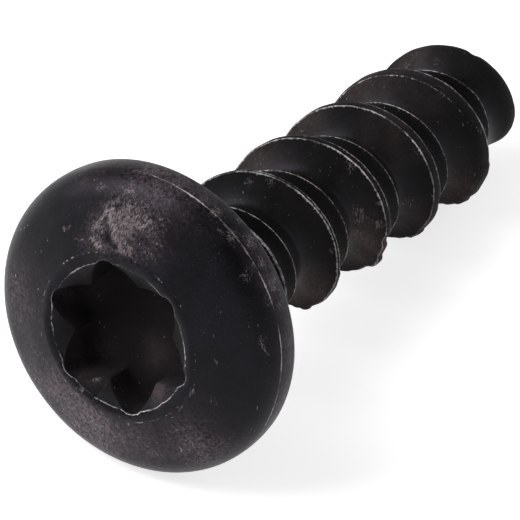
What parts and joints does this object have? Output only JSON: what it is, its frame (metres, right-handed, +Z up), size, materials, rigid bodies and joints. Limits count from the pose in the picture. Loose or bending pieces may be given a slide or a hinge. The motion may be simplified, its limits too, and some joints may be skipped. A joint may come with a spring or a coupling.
{
  "type": "sheet metal screw",
  "caption": "Black button-head screw with a six-lobe recess, a high-and-low thread up to the head and a blunt tapered end, for fastening sheet or soft material.",
  "frame": {"origin": "middle of the bounding box's bottom, on the surface that the screw lies on", "axes": "+X along the screw's length towards the tip, +Z up from the surface; the screw's own axis dips 8.26 degrees from the head to the tip"},
  "size_m": [0.0208, 0.0094, 0.0093],
  "materials": {
    "black_coating": "satin black coating on steel, worn bright on the edges"
  },
  "bodies": {
    "root": {"screw": "black_coating"}
  },
  "joints": []
}
